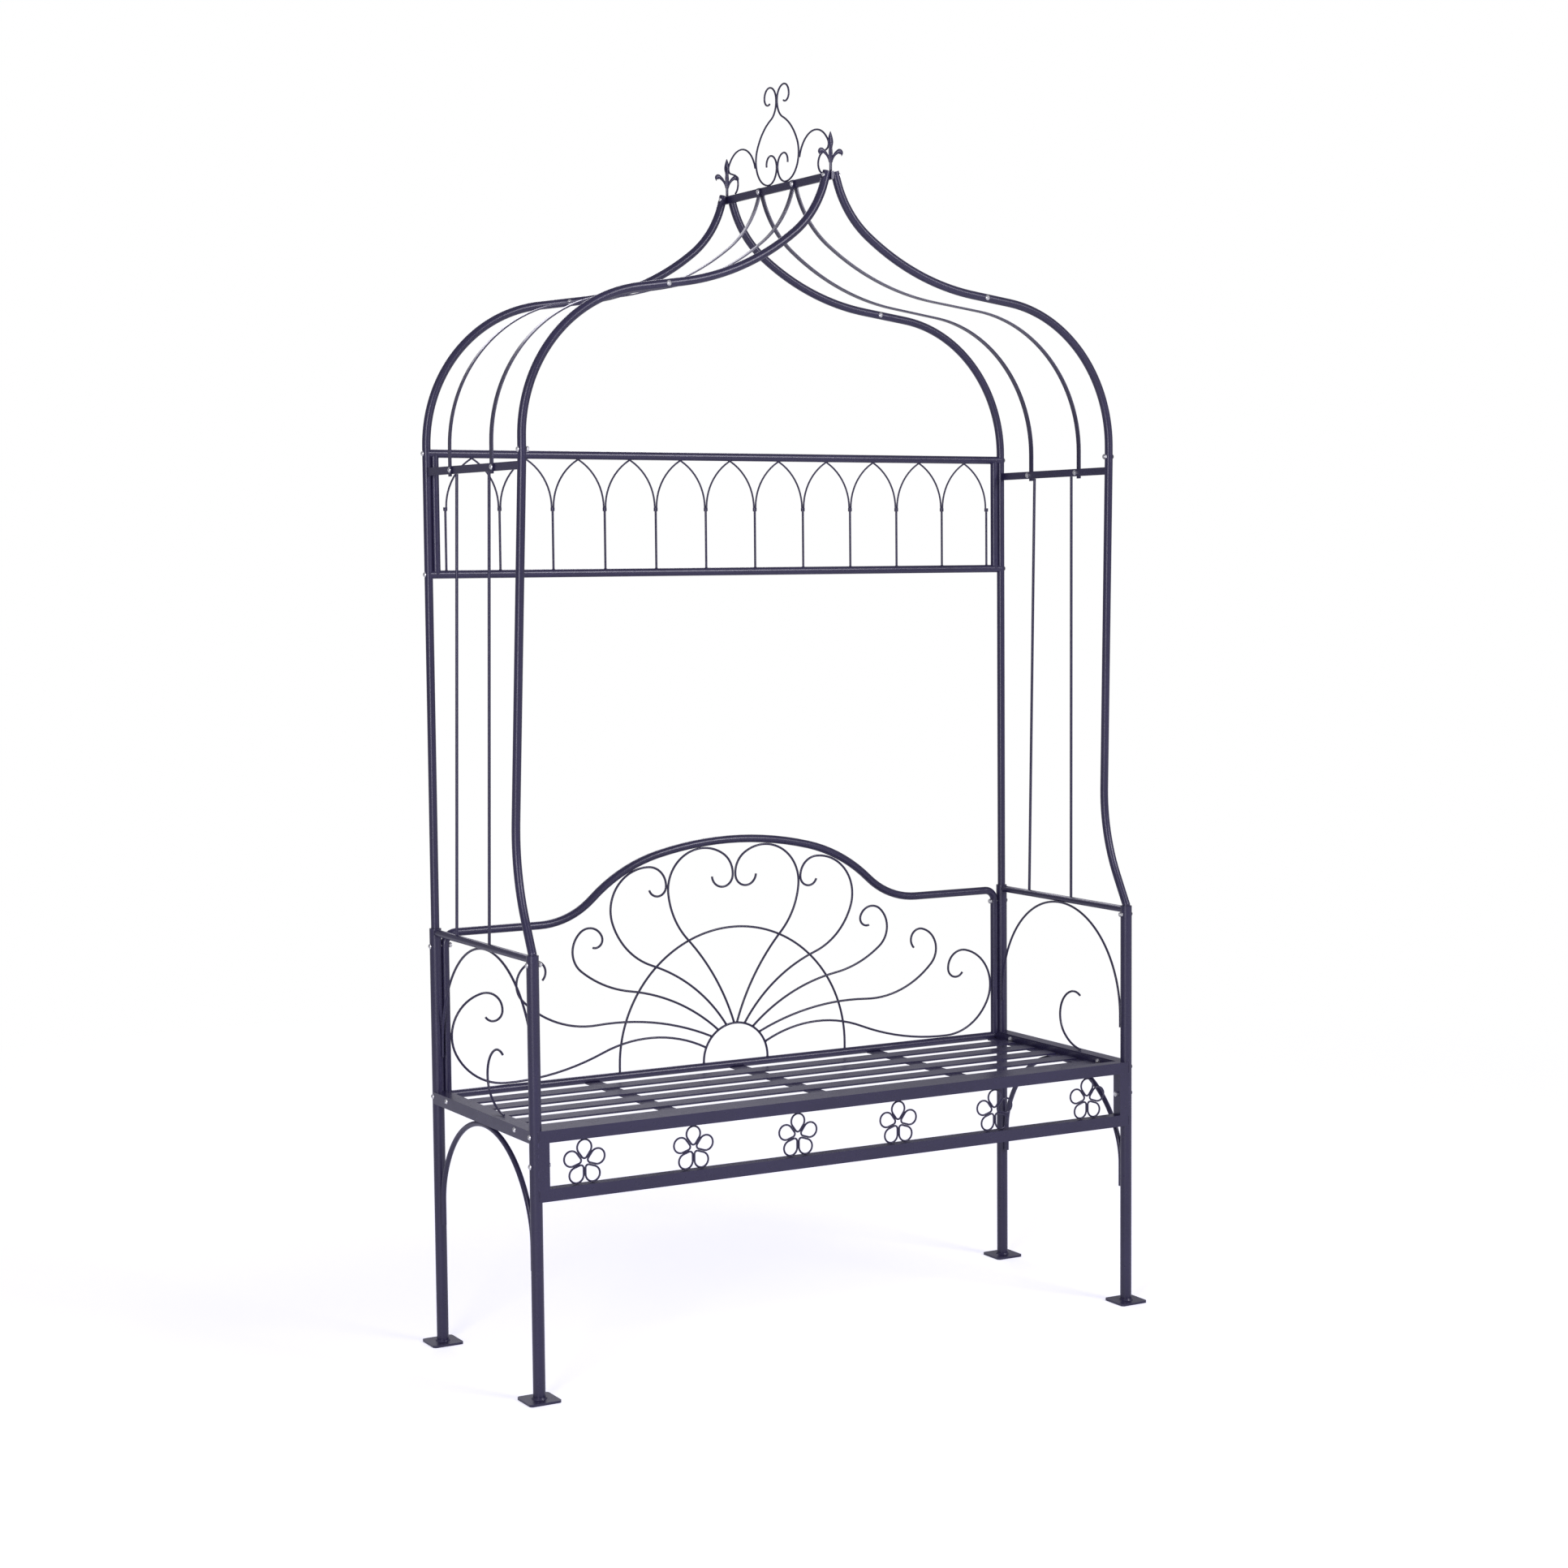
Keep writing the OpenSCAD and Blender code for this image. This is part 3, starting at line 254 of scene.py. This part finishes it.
def bead_along(points, radius, closed):
    """A rippled bead along points in millimetres, added to the weld mesh. Known fault: the caps
    of an open bead are wound inwards"""
    count = len(points)
    start = len(beads["vertices"])
    for i, point in enumerate(points):
        before = points[i - 1] if i or closed else points[i]
        after = points[(i + 1) % count] if i < count - 1 or closed else points[i]
        way = (after - before).normalized()
        across = way.orthogonal().normalized()
        third = way.cross(across)
        chance = random.uniform(-RIPPLE_CHANCE, RIPPLE_CHANCE)
        ripple = radius * (1 + RIPPLE * math.sin(i * RIPPLE_PACE) + chance)
        if not closed and i in (0, count - 1):
            ripple *= BEAD_END
        for k in range(BEAD_SIDES):
            turn = 2 * math.pi * k / BEAD_SIDES
            spoke = across * math.cos(turn) + third * math.sin(turn)
            beads["vertices"].append((point + ripple * spoke) * MM)
    for i in range(count if closed else count - 1):
        here = start + i * BEAD_SIDES
        there = start + ((i + 1) % count) * BEAD_SIDES
        for k in range(BEAD_SIDES):
            after = (k + 1) % BEAD_SIDES
            beads["faces"].append((here + k, here + after, there + after, there + k))
    if not closed:
        end = start + (count - 1) * BEAD_SIDES
        beads["faces"].append(tuple(start + k for k in range(BEAD_SIDES)))
        beads["faces"].append(tuple(end + k for k in reversed(range(BEAD_SIDES))))


def saddle(centre, along, on, on_r, tube_r, bead):
    """The seam where a tube that runs along one axis meets a round one that runs on another"""
    along, on = Vector(along), Vector(on)
    across = along.cross(on)
    points = []
    for i in range(SADDLE_POINTS):
        turn = 2 * math.pi * i / SADDLE_POINTS
        a, b = tube_r * math.cos(turn), tube_r * math.sin(turn)
        depth = math.sqrt(max(on_r * on_r - a * a, 0))
        points.append(Vector(centre) + along * depth + across * a + on * b)
    bead_along(points, bead, True)


def ring(centre, axis, radius, bead):
    """A bead around a rod or wire"""
    axis = Vector(axis).normalized()
    first = axis.orthogonal().normalized()
    second = axis.cross(first)
    count = max(FEWEST_RING_POINTS, int(radius * RING_POINTS_PER_MM))
    points = []
    for i in range(count):
        turn = 2 * math.pi * i / count
        points.append(Vector(centre) + radius * (first * math.cos(turn) + second * math.sin(turn)))
    bead_along(points, bead, True)


def seam(first, second, bead):
    """A straight bead from one point to another"""
    first, second = Vector(first), Vector(second)
    count = max(FEWEST_SEAM_STEPS, int((second - first).length / SEAM_STEP))
    bead_along([first.lerp(second, i / count) for i in range(count + 1)], bead, False)


def weld_side(side):
    """The welds of the left (-1) or right (1) side"""
    for end in (-1, 1):
        saddle((side * LEG_X, end * LEG_Y, ARM_H), (0, -end, 0), UP, LEG_R, ARM_R, TUBE_BEAD)
    saddle((side * LEG_X, LEG_Y, LOW_RAIL_H), (-side, 0, 0), UP, LEG_R, TUBE_R, TUBE_BEAD)
    for height, stile_way in ((HEADER_TOP, -1), (HEADER_LOW, 1)):
        saddle((side * HEADER_STILE_X, LEG_Y, height), (0, 0, stile_way), ACROSS,
               TUBE_R, TUBE_R - STILE_INSET, STILE_BEAD)
    saddle((side * STILE_X, LEG_Y, LOW_RAIL_H), UP, ACROSS,
           TUBE_R, TUBE_R - STILE_INSET, TUBE_BEAD)
    for radius, behind in ((SMALL_SUN_R, 0), (LARGE_SUN_R, LARGE_SUN_BEHIND)):
        top = LOW_RAIL_H + math.sqrt(TUBE_R ** 2 - behind ** 2)
        ring((side * radius, LEG_Y + behind, top), UP, ROD_R, ROD_BEAD)
    x = side * (LEG_X - RAIL_SEAM_IN)
    for low, high in ((SEAT_RAIL_LOW, SEAT_H), (APRON_RAIL_LOW, APRON_RAIL_TOP)):
        for y in (-LEG_Y - RAIL_W / 2, -LEG_Y + RAIL_W / 2):
            seam((x, y, low + RAIL_SEAM_SHORT), (x, y, high - RAIL_SEAM_SHORT), TUBE_BEAD)
    x, y = side * (LEG_X - LEG_R - APRON_SEAM_IN), -LEG_Y - APRON_SEAM_FRONT
    low, high = (APRON_RAIL_TOP + rise for rise in APRON_SEAM_RISE)
    seam((x, y, low), (x, y, high), STILE_BEAD)
    x, z = side * (LEG_X + ARCH_SEAM_OUT), SEAT_RAIL_LOW - ARCH_SEAM_UNDER
    for end in (-1, 1):
        seam(*((x, end * y, z) for y in ARCH_SEAM_Y), ARCH_BEAD)


def weld_header():
    """Rings at the feet of the header's rods and at the tops of its arches"""
    for i in range(ARCHES + 1):
        x = -ARCH_EDGE_X + i * 2 * ARCH_EDGE_X / ARCHES
        ring((x, LEG_Y, HEADER_LOW + TUBE_R), UP, ROD_R, ROD_BEAD)
        if i < ARCHES:
            ring((x + ARCH_EDGE_X / ARCHES, LEG_Y, HEADER_TOP - TUBE_R - WIRE_TOP_UNDER), UP,
                 WIRE_R + WIRE_RING_OUT, ROD_BEAD)


def weld_rays():
    """Rings where the rays leave the small half ring"""
    radius = SMALL_SUN_R + ROD_R
    for angle in RAY_ANGLES:
        x = radius * math.cos(math.radians(angle))
        z = radius * math.sin(math.radians(angle))
        for side in (-1, 1):
            ring((side * x, LEG_Y, LOW_RAIL_H + SMALL_SUN_RISE + z), (side * x, 0, z),
                 ROD_R - RAY_RING_IN, RAY_BEAD)


for side in (-1, 1):
    weld_side(side)
weld_header()
weld_rays()
welds = mesh_object("weld_beads", beads["vertices"], beads["faces"], WELD, True)
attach(welds, "root")


# ---------------------------------------------------------------- finials
# Height above the ridge bar, half width and half thickness of the stem and spear, in millimetres
SPEAR = ((0, 3.0, 2.5), (4, 2.5, 2.1), (13, 2.6, 2.0), (24, 3.7, 2.1), (32, 4.3, 2.3),
         (37, 3.2, 2.0), (41, 3.9, 1.9), (45, 5.2, 1.8), (48, 5.6, 1.7), (52, 5.1, 1.5),
         (57, 3.7, 1.2), (61, 2.3, 0.9), (64, 1.0, 0.5), (65, 0.4, 0.2))
# A leaf's start (across, up, heading in degrees) and its arcs (radius, turn in degrees)
LEAF_START, LEAF_STEPS = (2, 14, 85), ((24, -55), (5, -150))
FEWEST_ARC_STEPS, ARC_STEP_DEGREES = 6, 7
BLADE_SIDES = 16
RIB_HEIGHT, RIB_SHARPNESS, EDGE_THINNING = 0.35, 3.2, 0.35
LEAF_NECK, LEAF_BULGE = 1.5, 3.2
BULGE_PACE, BULGE_SKEW, BULGE_END = 1.15, 1.3, 0.87
TIP_START, TIP_LENGTH, TIP_NARROWING = 0.8, 0.2, 0.75
LEAF_THICK, LEAF_THINNING = 1.5, 0.9


def blade_ring(centre, across, through, half_width, half_thick):
    """A closed section with a raised midrib on both faces and thin, rounded edges"""
    ring_points = []
    for k in range(BLADE_SIDES):
        turn = 2 * math.pi * k / BLADE_SIDES
        u, v = math.cos(turn), math.sin(turn)
        rib = 1 + RIB_HEIGHT * max(0, 1 - abs(u) * RIB_SHARPNESS)
        out = across * half_width * u
        off = through * half_thick * v * rib * (1 - EDGE_THINNING * u * u)
        ring_points.append((centre + out + off) * MM)
    return ring_points


def loft(store, rings):
    """A capped skin over rings of points"""
    start, count = len(store["vertices"]), len(rings[0])
    for ring_points in rings:
        store["vertices"].extend(ring_points)
    for i in range(len(rings) - 1):
        for k in range(count):
            a, b = start + i * count + k, start + i * count + (k + 1) % count
            store["faces"].append((a, b, b + count, a + count))
    end = start + (len(rings) - 1) * count
    store["faces"].append(tuple(start + k for k in reversed(range(count))))
    store["faces"].append(tuple(end + k for k in range(count)))


def along_arc(x, z, radius, old, new):
    """The point that an arc from heading old to heading new, in radians, leads to from x, z"""
    side = math.copysign(1, new - old)
    return (x + side * radius * (math.sin(new) - math.sin(old)),
            z - side * radius * (math.cos(new) - math.cos(old)))


def leaf_path():
    """Points of a leaf's midrib as (across, up, heading in radians)"""
    x, z, heading = LEAF_START
    points = []
    for step, (radius, turn) in enumerate(LEAF_STEPS):
        old = math.radians(heading)
        count = max(FEWEST_ARC_STEPS, int(abs(turn) / ARC_STEP_DEGREES))
        last_arc = step == len(LEAF_STEPS) - 1
        for i in range(count + last_arc):
            now = math.radians(heading + turn * i / count)
            points.append((*along_arc(x, z, radius, old, now), now))
        x, z = along_arc(x, z, radius, old, math.radians(heading + turn))
        heading += turn
    return points


def leaf_half_width(part):
    """Half the width at a share of the leaf's length: a bulge, then a narrow tip"""
    wide = LEAF_NECK
    if part < BULGE_END:
        wide += LEAF_BULGE * math.sin(math.pi * min(1, part * BULGE_PACE) ** BULGE_SKEW)
    return wide * (1 - TIP_NARROWING * max(0, part - TIP_START) / TIP_LENGTH)


def leaf_rings(foot, side):
    """Sections of the left (-1) or right (1) leaf. Known fault: they wind its faces inwards"""
    path_points = leaf_path()
    rings = []
    for i, (x, z, heading) in enumerate(path_points):
        part = i / (len(path_points) - 1)
        normal = Vector((-math.sin(heading) * side, 0, math.cos(heading)))
        rings.append(blade_ring(foot + Vector((side * x, 0, z)), normal, BACK,
                                leaf_half_width(part), LEAF_THICK - LEAF_THINNING * part))
    return [list(reversed(r)) for r in rings] if side < 0 else rings


def build_finials():
    store = {"vertices": [], "faces": []}
    for y in (-FRONT_ROOF_Y, LEG_Y):
        foot = Vector((0, y, RIDGE_H))
        loft(store, [blade_ring(foot + UP * height, ACROSS, BACK, half_width, half_thick)
                     for height, half_width, half_thick in SPEAR])
        for side in (-1, 1):
            loft(store, leaf_rings(foot, side))
    return store


cast = build_finials()
finials = mesh_object("cast_finials", cast["vertices"], cast["faces"], COAT, True)
subdivision = finials.modifiers.new("subdivision", "SUBSURF")
subdivision.levels = subdivision.render_levels = 1
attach(finials, "root")
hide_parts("finials")


# ---------------------------------------------------------------- studio
WHITE = (1, 1, 1, 1)
FLOOR_COLOUR, FLOOR_MOTTLE, FLOOR_GLOW = (0.88, 0.88, 0.94), 0.985, 0.66
FLOOR_ROUGH, FLOOR_SHINE = 0.9, 0.1
FLOOR_HALF, FLOOR_DROP = 14.0, 0.0002
FADE_START, FADE_END = 1.0, 3.6  # metres from the middle, where the floor turns white
FLOOR_IN_GLOSS, WORLD_IN_GLOSS = 0.4, 0.15
WORLD_COLOUR, WORLD_LIGHT = (0.84, 0.82, 1, 1), 0.26
LAMP_COLOUR = (0.92, 0.90, 1.0)


def seen_ray(tree, in_gloss):
    """1 for camera and transmission rays, in_gloss for glossy rays, 0 for the light on things"""
    path = add(tree, "ShaderNodeLightPath")
    first = add(tree, "ShaderNodeMath", operation="MAXIMUM")
    second = add(tree, "ShaderNodeMath", operation="MAXIMUM")
    tree.links.new(path.outputs["Is Camera Ray"], first.inputs[0])
    tree.links.new(multiply(tree, path.outputs["Is Glossy Ray"], in_gloss), first.inputs[1])
    tree.links.new(first.outputs[0], second.inputs[0])
    tree.links.new(path.outputs["Is Transmission Ray"], second.inputs[1])
    return second.outputs[0]


def mix_shaders(tree, factor, first, second):
    mix = add(tree, "ShaderNodeMixShader")
    tree.links.new(factor, mix.inputs[0])
    tree.links.new(first, mix.inputs[1])
    tree.links.new(second, mix.inputs[2])
    return mix.outputs[0]


def floor_material(name):
    """A pale matt floor that keeps the shadows near the object and turns into the white
    backdrop further out"""
    material, tree = new_material(name)
    place = add(tree, "ShaderNodeTexCoord").outputs["Object"]
    matt = add(tree, "ShaderNodeBsdfPrincipled")
    tone = blend_colour(tree, noise(tree, place, scale=3, detail=3), FLOOR_COLOUR,
                        tuple(c * FLOOR_MOTTLE for c in FLOOR_COLOUR))
    tree.links.new(tone, matt.inputs["Base Color"])
    matt.inputs["Roughness"].default_value = FLOOR_ROUGH
    matt.inputs["Specular IOR Level"].default_value = FLOOR_SHINE
    lift = add(tree, "ShaderNodeEmission", Strength=FLOOR_GLOW)
    tree.links.new(tone, lift.inputs["Color"])
    both = add(tree, "ShaderNodeAddShader")
    tree.links.new(matt.outputs[0], both.inputs[0])
    tree.links.new(lift.outputs[0], both.inputs[1])
    away = add(tree, "ShaderNodeVectorMath", operation="LENGTH")
    tree.links.new(place, away.inputs[0])
    white = add(tree, "ShaderNodeEmission", Color=WHITE, Strength=1.0)
    fade = remap(tree, away.outputs["Value"], FADE_START, FADE_END)
    faded = mix_shaders(tree, fade, both.outputs[0], white.outputs[0])
    seen = mix_shaders(tree, seen_ray(tree, FLOOR_IN_GLOSS), matt.outputs[0], faded)
    out = add(tree, "ShaderNodeOutputMaterial")
    tree.links.new(seen, out.inputs[0])
    return material


def softbox(name, place, target, width, height, power):
    light = bpy.data.lights.new(name, "AREA")
    light.shape = "RECTANGLE"
    light.size, light.size_y = width, height
    light.energy = power
    light.color = LAMP_COLOUR
    lamp = link_object(name, light)
    lamp.location = place
    way = Vector(target) - Vector(place)
    lamp.rotation_euler = way.to_track_quat("-Z", "Y").to_euler()


corners = [(x * FLOOR_HALF, y * FLOOR_HALF, 0) for x, y in ((-1, -1), (1, -1), (1, 1), (-1, 1))]
floor = mesh_object("floor", corners, [(0, 1, 2, 3)], floor_material("pale_floor"), False)
floor.location.z = -FLOOR_DROP

world = bpy.data.worlds.new("studio")
bpy.context.scene.world = world
world.use_nodes = True
tree = world.node_tree
tree.nodes.clear()
lit = add(tree, "ShaderNodeBackground", Color=WORLD_COLOUR, Strength=WORLD_LIGHT)
shown = add(tree, "ShaderNodeBackground", Color=WHITE, Strength=1.0)
backdrop = mix_shaders(tree, seen_ray(tree, WORLD_IN_GLOSS), lit.outputs[0], shown.outputs[0])
out = add(tree, "ShaderNodeOutputWorld")
tree.links.new(backdrop, out.inputs[0])

softbox("key", place=(2.6, -5.0, 3.6), target=(0, 0, 1.0), width=1.8, height=2.4, power=140)
softbox("strip", place=(-3.5, -3.2, 1.9), target=(0, 0, 1.1), width=1.2, height=3.2, power=85)
softbox("rim", place=(1.0, 4.4, 3.6), target=(0, 0, 1.1), width=3.0, height=1.6, power=60)


# ---------------------------------------------------------------- camera
# Fitted to the photograph: place in metres, angles in degrees, focal length in its pixels
CAMERA_AT = Vector((-2.3927, -4.1898, 1.3247))
YAW, PITCH, ROLL = (math.radians(a) for a in (29.655, -4.535, -0.50))
FOCAL_PX, FRAME_PX = 3465.4, 1932
SENSOR_MM, CLIP_END = 36, 60
forward = Vector((math.sin(YAW) * math.cos(PITCH), math.cos(YAW) * math.cos(PITCH),
                  math.sin(PITCH)))
level = Vector((math.cos(YAW), -math.sin(YAW), 0))
upright = level.cross(forward)
right = math.cos(ROLL) * level + math.sin(ROLL) * upright
up = -math.sin(ROLL) * level + math.cos(ROLL) * upright
lens = bpy.data.cameras.new("camera")
lens.sensor_width = SENSOR_MM
lens.lens = FOCAL_PX / FRAME_PX * lens.sensor_width
lens.clip_end = CLIP_END
camera = link_object("camera", lens)
facing = Matrix((right, up, -forward)).transposed().to_4x4()
camera.matrix_world = Matrix.Translation(CAMERA_AT) @ facing
bpy.context.scene.camera = camera
bpy.context.scene.view_settings.view_transform = "Standard"
